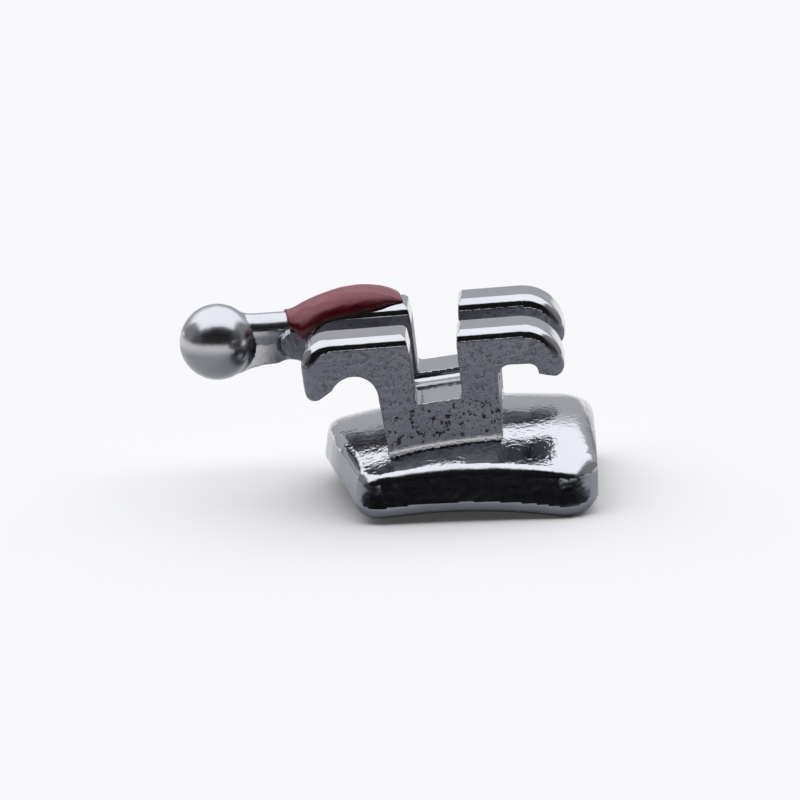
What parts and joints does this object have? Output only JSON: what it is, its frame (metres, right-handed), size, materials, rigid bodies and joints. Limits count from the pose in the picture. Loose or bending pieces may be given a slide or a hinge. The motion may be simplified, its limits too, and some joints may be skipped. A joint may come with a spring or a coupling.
{
  "type": "orthodontic bracket",
  "caption": "Metal twin orthodontic bracket with a curved bonding pad, a stem, tie wings beside an archwire slot, a ball hook and a red enamel colour mark",
  "frame": {"origin": "in the plane the bonding pad rests on, under the middle of the archwire slot", "axes": "+Z points away from the tooth, +Y runs along the archwire slot, -X is the hook side; the head is torqued and skewed a few degrees against these axes"},
  "size_m": [0.0048, 0.0034, 0.0023],
  "materials": {
    "steel": "polished casting with lightly pitted faces",
    "enamel": "glossy dark red enamel"
  },
  "bodies": {
    "root": {"bracket": "steel", "colour_mark": "enamel"}
  },
  "joints": []
}
